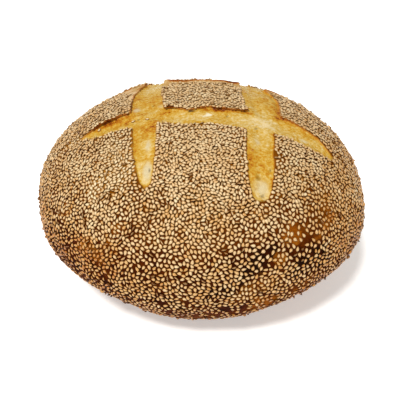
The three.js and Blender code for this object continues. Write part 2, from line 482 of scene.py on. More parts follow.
skin = {
    "topReach": 108.0,  # radius in plan of the part whose mesh follows the cuts' edges
    "lineSpacing": {"outer": 2.1, "cut": 0.95, "tile": 1.25},  # millimetres between mesh lines
    "edgeSpacing": 0.27,
    "spacingGrowth": 0.3,
    "spacingSteps": 2000,  # in which the growing spacing is counted
    "guidePoints": 700,  # along each edge of a cut, for the mesh lines to follow
    "guideSmooth": 12,  # points on either side that their middle line is smoothed over
    "guideReach": 0.999,  # share of the top's radius in which the lines follow the edges
    "layOutRounds": 10,
    "slopeStep": 0.05,  # over which the dome's slope is measured
    "leastOutwards": 0.35,  # keeps the ears from stretching where the dome is steep
    "floorFrom": (1.3, 3.5),  # the floor begins between these distances from the edge
    "floorUneven": 0.5,  # share of the crust's unevenness that the floors have
    "torn": [(7, 0.3), (2.6, 0.16), (1.2, 0.07)],  # size and height of the floors' wrinkles
    "pitRim": (0.35, 1.15, 0.3),  # a pit's rim: height of its depth, place and width of its radius
    "lumpInside": 0.6,  # how far a lump on a rim reaches over the floor
    "sideRings": 40,
    "sideSteps": 200,  # in which the way down the side is measured
    "footFade": 3.0,  # height over the table in which the crust becomes even
    "baseRings": 9,
    "baseSpread": 0.9,  # below 1 the base's first ring lies further in
    "baseHollow": 0.5,  # the bottom crust stands this far off the table inside its rim
    "baseRim": 0.12,  # width of that rim, of the way to the middle
    "baseWaves": (14, 0.25),  # size and share of the hollow's unevenness
    "baseMiddle": 0.8,  # height of the middle, of the hollow
    "farOff": 40.0,  # distance to the cuts that the side and the base are given
}
bulges = [  # where the dough swelled in a cut: x, y, reach along x and y, height
    (50, 14, 7, 20, 1.7), (39, -60, 6, 16, 0.6), (-35, -45, 5, 16, 0.5), (-37, 20, 6, 16, 0.7),
    (4, -21, 20, 3.5, 0.45), (44, -22, 9, 7, 0.6), (-36, -14, 8, 7, 0.5), (70, -28, 9, 4, 0.5),
    (-33, 62, 9, 11, 1.2), (49, 61, 9, 11, 1.7), (37, 60, 5, 10, 0.5),
]
lumps = [  # on the rims: x, y, reach, height
    (-24, 47, 3.2, 1.6), (32, 44, 3, 0.5), (-20, -10.6, 1.6, 0.3), (33, -8.8, 1.6, 0.1),
]
pits = [  # small burst bubbles in the floors: x, y, radius, depth
    (36.6, -72.5, 1.8, 0.3), (38, -83.5, 1.3, 0.4), (33.4, -80.5, 0.7, 0.5), (44.5, -66, 0.8, 0.5),
    (38.6, -29.1, 1.1, 0.5), (-5.6, -12.2, 1.3, 0.8), (-4.4, -12.3, 1.3, 0.8), (-3.1, -12.5, 1.2, 0.8),
    (20, -17, 0.9, 0.5), (-31.7, 3.6, 1.0, 0.5), (-37, -62, 0.7, 0.4), (-31, -66, 0.7, 0.5),
    (47, 33, 0.6, 0.4), (-41.2, -14.2, 0.9, 0.5), (-60, -15, 0.6, 0.4), (36, -44, 0.6, 0.35),
]


# The mesh of the top is laid out on a square from -1 to 1, which is rounded into a disc.
def toDisc(p, q):
    reach = skin["topReach"]
    return reach * p * np.sqrt(1 - q * q / 2), reach * q * np.sqrt(1 - p * p / 2)


def toSquare(x, y):
    a, b = x / skin["topReach"], y / skin["topReach"]
    root, gap = math.sqrt(8), a * a - b * b
    p = np.sqrt(np.maximum(2 + gap + root * a, 0)) - np.sqrt(np.maximum(2 + gap - root * a, 0))
    q = np.sqrt(np.maximum(2 - gap + root * b, 0)) - np.sqrt(np.maximum(2 - gap - root * b, 0))
    return p / 2, q / 2


def gradedShares(length, middle, fineStart, fineEnd):
    # shares of a stretch at which mesh lines lie, closer together beside the edge of a cut
    at = np.linspace(0, length, skin["spacingSteps"])
    fromFine = np.minimum(at if fineStart else np.inf, length - at if fineEnd else np.inf)
    spacing = np.minimum(middle, skin["edgeSpacing"] + skin["spacingGrowth"] * fromFine)
    counted = np.concatenate([[0], np.cumsum((at[1] - at[0]) / spacing[:-1])])
    lines = int(round(counted[-1]))
    return np.interp(np.linspace(0, counted[-1], lines + 1), counted, at)[:-1] / length


def guideLines(first, second):
    # the four edges of two cuts that run the same way, each as its places along and across the square
    guides = []
    along = np.linspace(-skin["topReach"], skin["topReach"], skin["guidePoints"])
    beside = skin["guideSmooth"]
    window = np.ones(2 * beside + 1) / (2 * beside + 1)
    for name in (first, second):
        cut = cuts[name]
        lines = cut["lines"]
        near = np.interp(along, lines["along"], lines["near"]["across"])
        far = np.interp(along, lines["along"], lines["far"]["across"])
        middle = np.convolve(np.pad((near + far) / 2, beside, mode="edge"), window, mode="valid")
        near = np.minimum(near, middle - edges["guideHalfWidth"])
        far = np.maximum(far, middle + edges["guideHalfWidth"])
        for across in (near, far):
            x, y = (along, across) if cut["runsAlong"] == 0 else (across, along)
            held = np.hypot(x, y) < skin["topReach"] * skin["guideReach"]
            p, q = toSquare(x[held], y[held])
            guides.append((p, q) if cut["runsAlong"] == 0 else (q, p))
    return guides


def lineTable(first, second):
    # the mesh lines that run one way: the stretch between two guides that each is in, and its share of it
    guides = guideLines(first, second)
    crossings = [np.interp(0, *guide) * skin["topReach"] for guide in guides]
    ends = [-skin["topReach"], *crossings, skin["topReach"]]
    lines = []
    for k, kind in enumerate(["outer", "cut", "tile", "cut", "outer"]):
        shares = gradedShares(ends[k + 1] - ends[k], skin["lineSpacing"][kind], k > 0, k < 4)
        lines += [(k, share) for share in shares]
    lines.append((4, 1.0))
    return guides, np.array([k for k, share in lines]), np.array([share for k, share in lines])


def placeLines(table, along):
    # where each mesh line runs across the square, at the given places along it: one row for each line
    guides, stretch, share = table
    border = np.ones_like(along)
    ends = np.stack([-border, *(np.interp(along, *guide) for guide in guides), border])
    low = np.take_along_axis(ends, np.broadcast_to(stretch[:, None], along.shape)[None], 0)[0]
    high = np.take_along_axis(ends, np.broadcast_to(stretch[:, None] + 1, along.shape)[None], 0)[0]
    return low + (high - low) * share[:, None]


def layOutTop():
    # columns and rows bend each other, so they are placed in turns until they settle
    columns, rows = lineTable("left", "right"), lineTable("front", "back")
    p = np.zeros((len(columns[1]), len(rows[1])))
    for _ in range(skin["layOutRounds"]):
        q = placeLines(rows, p.T).T
        p = placeLines(columns, q)
    return p, q


def domeFrame(x, y):
    # the plain dome's points, outward normals and slopes
    step = skin["slopeStep"]
    slopeX = (domeHeight(x + step, y) - domeHeight(x - step, y)) / (2 * step)
    slopeY = (domeHeight(x, y + step) - domeHeight(x, y - step)) / (2 * step)
    normal = unit(np.stack([-slopeX, -slopeY, np.ones_like(x)], -1))
    return np.stack([x, y, domeHeight(x, y)], -1), normal, slopeX, slopeY


def earSection(distance, curl, lift):
    # across the edge of a cut: the height over the dome and the shift sideways
    inward, outside = np.maximum(-distance, 0), np.maximum(distance, 0)
    keys = ("earPlace", "earLift", "earSunk", "flatSunk")
    section = {key: np.interp(inward, edges["inward"], edges[key]) for key in keys}
    last = edges["inward"][-1]
    place = np.where(inward > last, -inward, section["earPlace"])
    sunk = mix(section["flatSunk"] * edges["flatDepth"], edges["depth"] * section["earSunk"], curl)
    sunk = mix(sunk, edges["depth"], ease(last, edges["floorEase"], inward))
    flatLift = 1 - ease(0, edges["flatReach"], inward)
    height = np.where(distance < 0, lift * mix(flatLift, section["earLift"], curl) - sunk, lift)
    behind = -curl * edges["overhang"] * np.exp(-outside / edges["overhangReach"])
    return height, np.where(distance < 0, curl * (place + inward), behind)


def addFloorDetail(height, x, y, floorness):
    for bulgeX, bulgeY, reachX, reachY, rise in bulges:
        bulge = np.exp(-(((x - bulgeX) / reachX) ** 2) - ((y - bulgeY) / reachY) ** 2)
        height = height + floorness * rise * bulge
    rimHeight, rimPlace, rimWidth = skin["pitRim"]
    for pitX, pitY, radius, depth in pits:
        gap = np.hypot(x - pitX, y - pitY) / radius
        rim = rimHeight * np.exp(-(((gap - rimPlace) / rimWidth) ** 2))
        height = height + floorness * depth * (rim - np.exp(-(gap**4)))
    return height


def openedTop(x, y):
    # the top of the loaf with its cuts and their ears
    flat, normal, slopeX, slopeY = domeFrame(x, y)
    distance, way, curl, lift = cutField(x, y)
    distance = distance * np.sqrt(1 + (slopeX * way[:, 0] + slopeY * way[:, 1]) ** 2)
    level = np.stack([way[:, 0], way[:, 1], np.zeros_like(x)], -1)
    outwards = level - (level * normal).sum(-1, keepdims=True) * normal
    length = np.linalg.norm(outwards, axis=-1, keepdims=True)
    outwards = outwards / np.maximum(length, skin["leastOutwards"])
    height, shift = earSection(distance, curl, lift)
    floorness = ease(*skin["floorFrom"], np.maximum(-distance, 0))
    height = addFloorDetail(height, x, y, floorness)
    tops = flat + outwards * shift[:, None]
    uneven = crustUneven(tops)
    torn = sum(rise * cloud(tops, size, pattern["torn"] + k) for k, (size, rise) in enumerate(skin["torn"]))
    height = height + mix(uneven, uneven * skin["floorUneven"] + torn, floorness)
    onRims = distance > -skin["lumpInside"]
    for lumpX, lumpY, reach, rise in lumps:
        height = height + rise * np.exp(-(((x - lumpX) ** 2 + (y - lumpY) ** 2) / reach**2)) * onRims
    return tops + normal * height[:, None], {"distance": distance, "curl": curl}


def sideRings(angle):
    # rings from the border of the top down to the rim of the base, at even steps along the surface
    topSlope = np.arccos((skin["topReach"] / outlineRadius(angle)) ** (form["domeFullness"] / 2))
    belly = form["bellyFullness"] * swell(form["bellySwells"], angle)
    rimSlope = -np.arcsin((widest / bellyDrop) ** (belly / 2))
    slopes = topSlope + (rimSlope - topSlope) * np.linspace(0, 1, skin["sideSteps"])[:, None]
    path = sidePoint(np.broadcast_to(angle, slopes.shape), slopes)
    steps = np.linalg.norm(np.diff(path, axis=0), axis=-1)
    lengths = np.concatenate([np.zeros((1, len(angle))), steps.cumsum(0)])
    rings = [path[0]]
    for ring in range(1, skin["sideRings"] + 1):
        wanted = lengths[-1] * ring / skin["sideRings"]
        picked = np.array([np.interp(want, lengths[:, k], slopes[:, k]) for k, want in enumerate(wanted)])
        rings.append(sidePoint(angle, picked))
    rings = np.array(rings)
    around = (np.roll(rings, -1, axis=1) - np.roll(rings, 1, axis=1)) / 2
    normal = unit(np.cross(np.gradient(rings, axis=0), around))[1:].reshape(-1, 3)
    rings = rings[1:].reshape(-1, 3)
    lift = crustUneven(rings) * ease(0, skin["footFade"], rings[:, 2])
    rings = (rings + normal * lift[:, None]).reshape(skin["sideRings"], -1, 3)
    rings[-1, :, 2] = 0
    return rings


def baseRings(rim):
    size, uneven = skin["baseWaves"]
    rings = []
    for ring in range(1, skin["baseRings"]):
        inwards = (ring / skin["baseRings"]) ** skin["baseSpread"]
        inner = rim * (1 - inwards)
        waves = 1 - uneven + uneven * cloud(inner, size, pattern["base"])
        inner[:, 2] = skin["baseHollow"] * ease(0, skin["baseRim"], inwards) * waves
        rings.append(inner)
    return np.array(rings)


skinMap = {  # where the crust lies on its map, of the map's width
    "edge": 0.005,
    "top": 0.56,  # the top is a square of this side
    "stripLeft": 0.585,  # the side is four strips, one over another
    "stripWide": 0.405,
    "stripTall": 0.238,
    "stripStep": 0.248,
    "baseMiddle": (0.2, 0.785),  # the base is a disc
    "baseRadius": 0.19,
}


def mapTop(p, q, quads):
    # half way between the places of the mesh lines and even steps
    across, up = p.shape
    columns = np.broadcast_to(np.arange(across)[:, None] / (across - 1), p.shape)
    rows = np.broadcast_to(np.arange(up)[None] / (up - 1), p.shape)
    places = [skinMap["edge"] + skinMap["top"] * ((p + 1) / 4 + columns / 2)]
    places.append(skinMap["edge"] + skinMap["top"] * ((q + 1) / 4 + rows / 2))
    return np.stack(places, -1).reshape(-1, 2)[quads].reshape(-1, 2)


def mapSides(corners, rings):
    step = np.arange(corners[-1])
    strip = np.searchsorted(corners, step, side="right") - 1
    share = (step - corners[strip]) / np.diff(corners)[strip]
    onwards = 1 / np.diff(corners)[strip]
    start = skinMap["stripLeft"] + skinMap["stripWide"] * share
    end = skinMap["stripLeft"] + skinMap["stripWide"] * (share + onwards)
    places = []
    for ring in range(rings):
        high = skinMap["edge"] + strip * skinMap["stripStep"] + skinMap["stripTall"] * (1 - ring / rings)
        under = high - skinMap["stripTall"] / rings
        places.append(np.stack([start, under, end, under, end, high, start, high], -1).reshape(-1, 2))
    return places


def buildSkin():
    p, q = layOutTop()
    across, up = p.shape
    x, y = toDisc(p.ravel(), q.ravel())
    tops, field = openedTop(x, y)
    number = np.arange(across * up).reshape(across, up)
    border = np.concatenate([number[:, 0], number[-1, 1:], number[-2::-1, -1], number[0, -2:0:-1]])
    corners = np.cumsum([0, across - 1, up - 1, across - 1, up - 1])
    around = len(border)
    sides = sideRings(np.arctan2(y[border], x[border]))
    base = baseRings(sides[-1])
    centre = np.array([[0, 0, skin["baseHollow"] * skin["baseMiddle"]]])
    points = np.concatenate([tops, sides.reshape(-1, 3), base.reshape(-1, 3), centre])

    topQuads = np.stack([number[:-1, :-1], number[1:, :-1], number[1:, 1:], number[:-1, 1:]], -1)
    topQuads = topQuads.reshape(-1, 4)
    lower = across * up + np.arange((len(sides) + len(base)) * around).reshape(-1, around)
    upper = np.concatenate([border[None], lower[:-1]])
    lowQuads = np.stack([lower, np.roll(lower, -1, 1), np.roll(upper, -1, 1), upper], -1).reshape(-1, 4)
    fan = np.stack([np.full(around, len(points) - 1), np.roll(lower[-1], -1), lower[-1]], -1)

    flat = points[:, :2] / np.abs(sides[-1]).max() * skinMap["baseRadius"] + skinMap["baseMiddle"]
    places = [mapTop(p, q, topQuads), *mapSides(corners, len(sides))]
    places += [flat[lowQuads[len(sides) * around:]].reshape(-1, 2), flat[fan].reshape(-1, 2)]

    quads = np.concatenate([topQuads, lowQuads])
    faceCorners = np.concatenate([quads.ravel(), fan.ravel()])
    sizes = np.concatenate([np.full(len(quads), 4), np.full(len(fan), 3)])
    rest = len(points) - across * up
    field["distance"] = np.concatenate([field["distance"], np.full(rest, skin["farOff"])])
    field["curl"] = np.concatenate([field["curl"], np.zeros(rest)])
    return points, quads, faceCorners, sizes, np.concatenate(places), field


skinPoints, skinQuads, skinCorners, skinSizes, skinPlaces, skinField = buildSkin()
print("skin:", len(skinPoints), "points,", len(skinSizes), "faces")

marksWobble = 0.35  # how uneven the outlines of the marks are, and over how many millimetres
marksWobbleSize = 6
marks = {
    # on the crust: x, y, z, reach, strength
    "glow": [
        (-88.4, -67.8, 79, 9, 0.7), (-71.7, -90.1, 69.2, 8, 0.7), (-64, -96.7, 65.5, 7, 0.65),
        (-57.6, -95.8, 75.8, 4, 0.8), (-50.5, -93, 84.8, 5, 0.6), (-59.5, -101.1, 55.6, 4, 0.6),
        (55.7, -98.4, 80.4, 8, 1.0), (79.5, -76.8, 86.5, 6, 0.8), (83.5, -79.2, 80.7, 6, 0.8),
        (78.6, -85.8, 78.3, 5, 0.7), (73, -92, 75, 5, 0.7), (46.8, -107.7, 70, 5, 0.9),
        (37.6, -92, 93.5, 7, 0.6), (29.8, -115.2, 52.2, 9, 0.6), (38.9, -109.8, 35.2, 12, 0.8),
        (-6.7, -109.5, 78.6, 4, 0.5), (-11.1, -115.7, 44.5, 5, 0.5), (-26.2, -113.6, 56.1, 5, 0.4),
        (23.5, -115.5, 44.6, 8, 0.6), (-110, 20, 50, 12, 0.5), (104, 40, 62, 12, 0.6),
        (20, 112, 66, 14, 0.6), (-70, 92, 60, 12, 0.5), (84, 76, 74, 9, 0.5), (58, -95, 83, 13, 0.45),
        (38, -113, 54, 8, 0.6), (60, -99, 40, 12, 0.5), (3, -114, 36, 10, 0.25),
        (17.6, -35, 120.6, 3.4, 1.0), (29.4, -36.8, 119.2, 3.0, 1.0), (30.4, -42, 118.2, 1.8, 0.8),
    ],
    "burnt": [
        (35.5, -109.3, 73.6, 8, 0.9), (42, -106.7, 75.4, 7, 0.8), (25.4, -114.6, 63.9, 6, 0.7),
        (65, -87.8, 86.8, 8, 0.5), (73.5, -95.8, 67.3, 9, 0.7), (62.6, -104.2, 58.9, 9, 0.8),
        (58.7, -103.7, 68.1, 6, 0.6), (-54.5, -102.4, 41.8, 10, 0.4), (-81.4, -85.7, 49.3, 6, 0.5),
        (112, -20, 40, 12, 0.4), (-20, 116, 46, 14, 0.5), (96, 66, 38, 10, 0.5),
        (73.4, -97.4, 62.4, 12, 0.7), (60, -94, 79, 22, 0.4), (-88, -72, 78, 20, 0.22),
        (29, -102, 86, 9, 0.2), (21.7, -111.4, 74.4, 8, 0.5), (3, -117, 55, 9, 0.25),
        (19, -115.5, 60, 14, 0.4), (8, -112, 70, 8, 0.3),
    ],
    "dusty": [
        (-55, -65, 103, 13, 0.75), (-66, -66, 97, 10, 0.7), (-56, -45, 110, 12, 0.7),
        (-45, -56, 110, 9, 0.5), (-51, -76, 99, 8, 0.4), (-80, -45, 96, 14, 0.6),
    ],
    "bare": [(-49, 24, 118, 5, 0.9), (-51, 36, 115, 5.5, 0.9), (-54, 47, 111, 5, 0.8)],
    # on the floors of the cuts: x, y, reach along x and y, strength
    "warm": [
        (-32.4, -29.6, 5.5, 6.5, 0.38), (-35.5, 10, 8, 4.5, 0.18), (-43, 19, 4, 6, 0.12),
        (-53.5, -11.5, 9, 4, 0.22), (-66, -13, 10, 4, 0.2), (-22, -10.4, 4.5, 1.8, 0.34),
        (6, -10.6, 9, 1.6, 0.2), (-27, -17, 5, 4, 0.12), (-32, 42, 12, 12, -0.2),
        (16, -11, 5, 1.6, 0.2), (36, -11, 4, 1.8, 0.3), (-40, -16, 14, 12, 0.1),
        (-36, 26, 10, 14, 0.06), (-33, -77, 4, 2.4, 0.3), (-33, -48, 5, 6, -0.2), (-32, -59, 5, 4, 0.1),
        (-32.6, -66, 5, 8, -0.22), (33, -59, 5, 9, 0.14), (39, -64, 6, 6, 0.1),
        (38.4, -44, 6, 5, -0.15), (38, -81, 7, 7, -0.2), (56.5, -1, 6, 17, 0.28), (52, -13, 5, 5, 0.16),
        (44, -20, 12, 11, -0.38), (38, -52, 6, 14, -0.05), (71.4, -30.3, 6, 4, -0.16),
        (-77, -17, 7, 3, -0.1), (2, -20, 24, 5, -0.12), (0, 58, 40, 6, -0.15),
    ],
    "chalky": [
        (-43.4, -0.4, 3.6, 3.6, 0.9), (-26.6, -0.5, 3, 4.5, 0.6), (-32.8, -46, 2.4, 6, 0.9),
        (-32, 50, 10, 8, 0.5), (38.4, -43.4, 2.6, 3.8, 0.75), (71.4, -30.3, 3.6, 2.6, 0.8),
        (38, -79, 6, 8, 0.75), (-32.4, -66, 3.4, 8, 1.0), (34.5, -53, 1.6, 2.6, 0.5),
        (60, 55, 7, 4, 0.4), (-30, 84, 4, 6, 0.4),
    ],
    # on the rims of the cuts, in the same way
    "seared": [
        (-15, 46, 6, 6, 0.15), (29, 45, 8, 6, 0.5), (-25, -10, 6, 5, 0.3), (-1, 47, 14, 6, 0.08),
        (-37, 58, 4, 14, -0.4), (37, -10, 4, 5, 0.3), (32, -54, 4, 26, 0.6),
    ],
    # a small pale fleck on the floor of the front cut
    "flour": [(6.6, -15.8, 1.6, 2.4, 1.0), (3.8, -17.8, 2.0, 1.3, 0.8), (8.6, -16.4, 1.2, 2.4, 0.7)],
}


def onCrust(points, kind):
    # how much of a mark each point has
    share = np.zeros(len(points))
    wobble = 1 + marksWobble * cloud(points, marksWobbleSize, pattern["mark"])
    for *middle, reach, strength in marks[kind]:
        gap = np.linalg.norm(points - np.array(middle), axis=-1) / reach * wobble
        share = np.maximum(share, strength * np.exp(-(gap**4)))
    return share


def onFloor(points, kind):
    share = np.zeros(len(points))
    for x, y, reachX, reachY, strength in marks[kind]:
        share += strength * np.exp(-(((points[:, 0] - x) / reachX) ** 2) - ((points[:, 1] - y) / reachY) ** 2)
    return share


browningAndShade = {  # how dark the crust is, 0 pale to 1 burnt: the oven's browning, and partly painted shade low on the loaf and between the seeds
    "least": 0.03,
    "places": [  # by how much, and in which region
        (0.5, [(2, domeTop, 0.4 * domeTop)]),  # darker from the top down: browning, and low on the loaf partly painted shade
        (-0.36, [(2, 44, 12)]),  # the foot
        (-0.19, [(0, 30, 80), (2, 104, 84)]),  # the right flank
        (0.24, [(0, 30, 80), (2, 46, 16), (1, -30, 0)]),  # and its foot at the back
        (0.2, [(1, -12, -40)]),  # the front
    ],
    "burnt": 0.46,
    "dusty": -0.3,
    "mottled": (0.06, 0.4),  # least and most browning that the mottling goes by
    "broad": (17, 0.25),  # size and share of the mottling
    "fine": (6, 0.17),
}


def crustBakeAndShade(points):
    bake = browningAndShade["least"] + sum(much * region(points, limits) for much, limits in browningAndShade["places"])
    bake += browningAndShade["burnt"] * onCrust(points, "burnt") + browningAndShade["dusty"] * onCrust(points, "dusty")
    broadSize, broad = browningAndShade["broad"]
    fineSize, fine = browningAndShade["fine"]
    mottling = broad * cloud(points, broadSize, pattern["bakeBroad"])
    mottling += fine * cloud(points, fineSize, pattern["bakeFine"])
    return bake + np.clip(bake, *browningAndShade["mottled"]) * mottling


toasting = {
    # the browned line along an edge: its distance from the edge over the floor, its width, and how strong
    # it is where the edge did not curl and where it did
    "line": (0.3, 0.36, 0.25, 1.05),
    "behind": 0.9,  # how far the browning reaches behind an ear
    "behindRear": 3.0,  # and behind the ear at the back of the square panel, where it is this strong
    "rearShare": 0.8,
    "uneven": (5, 0.8, 0.4),  # size, least and spread of the browning along the edges
    "under": (2.0, 6.0),  # the warmer floor under an ear, partly toasting and partly painted shadow of the ear, ends between these distances
    "underWobble": (9, 1.5),
    "underCurl": 1.3,
    "underToastAndShadow": 0.34,
    "beside": (0.4, 2.4),  # and the one beside every edge
    "besideWarm": 0.14,
    "warm": 0.42,
    "warmBroad": (8, 0.09),
    "warmFine": (2.5, 0.06),
    "pit": (1.4, 1.1),  # how dark a pit is for its depth, partly burnt specks and partly painted shade in the hollow, and how much smaller than the pit
    "pitInside": 1.0,
    "chalky": (4, 0.12),
    "opened": (0.1, 0.75),  # the crust turns into the opened floor between these distances
}


def skinPaint(points, field):
    def uneven(kind, name=None):
        size, share = toasting[kind]
        return share * cloud(points, size, pattern[name or kind])

    distance, curl = field["distance"], field["curl"]
    low, high = cuts["back"]["nearRimBand"]
    onRear = (points[:, 1] > low) & (points[:, 1] < high)
    inward, outside = np.maximum(-distance, 0), np.maximum(distance, 0)
    place, width, flat, curled = toasting["line"]
    line = np.exp(-(((inward - place) / width) ** 2)) * mix(flat, curled, curl) * (distance < 0)
    reach = np.where(onRear, toasting["behindRear"], toasting["behind"])
    behind = np.where(onRear, toasting["rearShare"], 1) * np.exp(-((outside / reach) ** 3)) * (distance >= 0)
    underFrom, underTo = toasting["under"]
    under = 1 - ease(underFrom, underTo + uneven("underWobble", "under"), inward)
    warm = toasting["warm"] + onFloor(points, "warm")
    # painted shadow under a curled ear, partly toasting too: the floor turns warmer in colour under it
    warm += toasting["underToastAndShadow"] * curl ** toasting["underCurl"] * under
    warm += toasting["besideWarm"] * (1 - ease(*toasting["beside"], inward))
    warm += uneven("warmBroad") + uneven("warmFine")
    # dark specks in the pits, partly burnt and partly painted shade, darker for a deeper pit
    specks = np.zeros(len(points))
    dark, small = toasting["pit"]
    for x, y, radius, depth in pits:
        gap = np.hypot(points[:, 0] - x, points[:, 1] - y) / radius
        specks = np.maximum(specks, min(dark * depth, 1) * np.exp(-((gap * small) ** 4)))
    size, least, spread = toasting["uneven"]
    searing = least + spread * cloud(points, size, pattern["toast"]) + onFloor(points, "seared")
    return {
        "opened": ease(*toasting["opened"], inward),
        "toast": np.maximum(line, curl * behind) * searing,
        "warm": np.clip(warm, 0, 1),
        "chalky": np.clip(onFloor(points, "chalky") + uneven("chalky"), 0, 1),
        "specks": specks * (distance < -toasting["pitInside"]),
        # the crust's browning, with painted shade low on the loaf and between the seeds
        "bake": np.clip(crustBakeAndShade(points), 0, 1),
        "glow": onCrust(points, "glow"),
        "bare": onCrust(points, "bare"),
        "flour": np.clip(onFloor(points, "flour"), 0, 1),
    }


baked = {
    # the crust from pale to burnt; its darkest colours partly stand for painted shade between the seeds
    "crust": [
        (0.0, tint(204, 174, 120)), (0.1, tint(160, 106, 30)), (0.2, tint(130, 74, 4)),
        (0.4, tint(98, 46, 0)), (0.62, tint(74, 26, 0)), (0.82, tint(52, 15, 0)), (1.0, tint(30, 11, 3)),
    ],
    "glow": [(0.3, tint(98, 42, 2)), (0.5, tint(150, 79, 8)), (0.7, tint(190, 115, 24))],
    "bare": tint(214, 182, 138),
    "seared": [(0.2, tint(184, 112, 36)), (0.5, tint(142, 74, 20)), (0.9, tint(84, 36, 8))],
    "floor": [
        (0.0, tint(222, 198, 146)), (0.25, tint(208, 175, 98)), (0.5, tint(195, 150, 46)),
        (0.72, tint(184, 122, 24)), (0.9, tint(160, 88, 14)), (1.0, tint(122, 56, 8)),
    ],
    "chalk": tint(204, 190, 154),
    "pore": tint(120, 70, 20),
    "pit": tint(62, 36, 14),
    "flour": tint(232, 224, 196),
    "coarse": 4.0,  # millimetres across the blotches, the fine blotches and the grain
    "fine": 0.7,
    "grain": 1.3,
    "bakeMottling": 0.12,
    "floorMottling": [(5, 3, 0.7), (2.2, 2, 0.9)],  # size, detail and strength
    # a painted mark is made ragged by so much, and shows between these two strengths
    "glowRagged": 1.1,
    "glowEdge": (0.3, 0.85),
    "toastRagged": 0.7,
    "toastEdge": (0.1, 0.45),
    "paleFleckRagged": 1.4,
    "paleFleckEdge": (0.35, 0.8),
    "chalkRagged": 0.7,
    "chalkEdge": (0.25, 0.9),
    "poreSpacing": 2.6,
    "poreEdge": (0.06, 0.16),
    "poreGroups": 4,  # size of the groups that the pores stand in
    "poreGroupEdge": (0.5, 0.62),
    "glowShare": 0.65,  # how strongly each covers what is under it
    "chalkShare": 0.8,
    "poreShare": 0.6,
    "paleFleckShare": 0.85,
    "pitting": 1.1,  # size of the pitting in the surface, its share beside the fine blotches, and its depth
    "pittingShare": 0.7,
    "pittingDepth": 0.22,
    "crustRoughness": 0.8,
    "crustGloss": 0.03,
    "floorRoughness": 0.46,
    "paleFleckRoughness": 0.3,
    "grainRoughness": 0.2,
    "floorGloss": 0.14,
}


def crustColour(finish, coarse, fine):
    # the crust's browning, partly painted shade low on the loaf and between the seeds
    bake = finish.painted("bake")
    mottling = baked["bakeMottling"]
    bake = bake + (coarse - 0.5) * (bake + mottling) + (fine - 0.5) * mottling
    crust = finish.ramp(bake, baked["crust"])
    glow = finish.painted("glow") + (coarse - 0.5) * baked["glowRagged"]
    glow = finish.step(*baked["glowEdge"], glow)
    golden = finish.ramp(fine * 0.5 + coarse * 0.5, baked["glow"])
    crust = finish.blend(crust, golden, glow * baked["glowShare"])
    return finish.blend(crust, baked["bare"], finish.painted("bare"))


def floorColour(finish, grain, flour):
    warm = finish.painted("warm")
    for size, detail, strength in baked["floorMottling"]:
        warm = warm + (finish.noise(size, detail) - 0.5) * strength
    floor = finish.ramp(warm + grain, baked["floor"])
    chalk = finish.step(*baked["chalkEdge"], finish.painted("chalky") + grain * baked["chalkRagged"])
    floor = finish.blend(floor, baked["chalk"], chalk * baked["chalkShare"])
    pores = {"Vector": finish.places, "Scale": 1 / (baked["poreSpacing"] * mm), "Randomness": 1.0}
    pores = finish.node("ShaderNodeTexVoronoi", {"feature": "F1"}, pores)
    groups = finish.step(*baked["poreGroupEdge"], finish.noise(baked["poreGroups"], 1))
    pores = (1 - finish.step(*baked["poreEdge"], pores)) * groups
    floor = finish.blend(floor, baked["pore"], pores * baked["poreShare"])
    # the pits: partly burnt specks, partly painted shade in their hollows
    floor = finish.blend(floor, baked["pit"], finish.painted("specks"))
    return finish.blend(floor, baked["flour"], flour * baked["paleFleckShare"])


def crustFinish():
    finish = Finish("baked_crust")
    coarse, fine = finish.noise(baked["coarse"], 3), finish.noise(baked["fine"], 2)
    grain = finish.noise(baked["grain"], 3, 0.65) - 0.5
    toast = finish.painted("toast") + grain * baked["toastRagged"]
    seared = finish.ramp(toast, baked["seared"])
    toast = finish.step(*baked["toastEdge"], toast)
    flour = finish.step(*baked["paleFleckEdge"], finish.painted("flour") + grain * baked["paleFleckRagged"])
    crust = finish.blend(crustColour(finish, coarse, fine), seared, toast)
    floor = finish.blend(floorColour(finish, grain, flour), seared, toast)
    share = baked["pittingShare"]
    pitting = finish.noise(baked["pitting"], 3, 0.6) * share + fine * (1 - share)
    pitting = finish.bump(pitting, baked["pittingDepth"])
    dull = finish.shader({
        "Base Color": crust, "Roughness": baked["crustRoughness"],
        "Specular IOR Level": baked["crustGloss"], "Normal": pitting,
    })
    roughness = baked["floorRoughness"] + flour * baked["paleFleckRoughness"]
    roughness = roughness + grain * baked["grainRoughness"]
    glossy = finish.shader({
        "Base Color": floor, "Roughness": roughness,
        "Specular IOR Level": baked["floorGloss"], "Normal": pitting,
    })
    opened = finish.painted("opened")
    finish.surface(finish.node("ShaderNodeMixShader", None, {0: opened, 1: dull, 2: glossy}))
    return finish.material


loaf = makeObject("loaf_crust", skinPoints - formMiddle, skinCorners, skinSizes, crustFinish())
for name, values in skinPaint(skinPoints, skinField).items():
    paintPoints(loaf, name, values)
layMap(loaf, skinPlaces)
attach(loaf, "root")
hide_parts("loaf")

